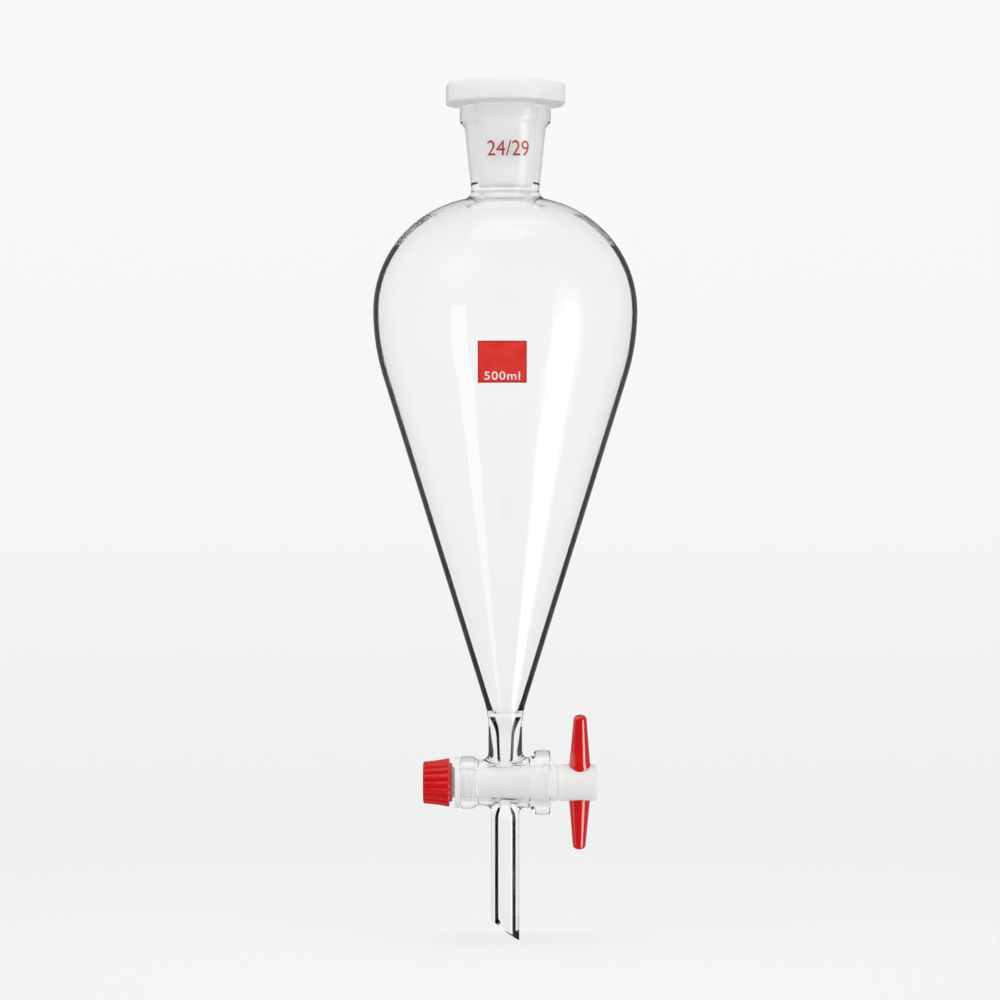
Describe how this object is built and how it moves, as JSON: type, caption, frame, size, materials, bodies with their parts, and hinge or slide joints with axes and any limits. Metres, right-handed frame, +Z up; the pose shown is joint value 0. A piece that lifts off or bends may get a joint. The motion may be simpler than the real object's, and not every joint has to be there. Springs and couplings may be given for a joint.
{
  "type": "separatory funnel",
  "caption": "Pear-shaped glass separatory funnel with a stoppered ground neck, a PTFE stopcock with a red handle and lock nut, and a bevelled drip stem.",
  "frame": {"origin": "on the funnel's axis, at the level where the ring of a stand carries the cone, which is 80 mm wide there", "axes": "+Z up along the funnel's axis; +X along the stopcock's axis towards the handle; -Y towards the printed side"},
  "size_m": [0.1, 0.1, 0.324],
  "materials": {
    "clear_glass": "polished",
    "ground_glass": "ground",
    "milky_plastic": "satin",
    "ptfe": "satin",
    "red_plastic": "gloss",
    "silicone": "satin",
    "red_enamel": "gloss",
    "white_enamel": "gloss"
  },
  "bodies": {
    "glass": {"joint_socket": "ground_glass", "bulb": "clear_glass", "upper_stem": "clear_glass", "stopcock_barrel": "clear_glass", "drip_stem": "clear_glass"},
    "stopper": {"stopper": "milky_plastic"},
    "key": {"key_plug": "ptfe", "handle_arm_upper": "red_plastic", "handle_arm_lower": "red_plastic"},
    "seals": {"thrust_washer": "ptfe", "o_ring": "silicone"},
    "nut": {"lock_nut": "red_plastic"}
  },
  "joints": [
    {"name": "stopper_lift", "type": "slide", "parent": "glass", "child": "stopper", "axis": [0, 0, 1], "range_m": [0, 0.045]},
    {"name": "key_turn", "type": "hinge", "parent": "glass", "child": "key", "pos_m": [0, 0, -0.13371], "axis": [1, 0, 0], "continuous": true},
    {"name": "seal_slide", "type": "slide", "parent": "key", "child": "seals", "axis": [-1, 0, 0], "range_m": [0, 0.003]},
    {"name": "nut_turn", "type": "hinge", "parent": "seals", "child": "nut", "pos_m": [0, 0, -0.13371], "axis": [-1, 0, 0], "range_deg": [0, 720]}
  ],
  "couplings": [
    {"joint": "nut_turn", "follows": "seal_slide", "rad_per_m": 4188.8}
  ]
}
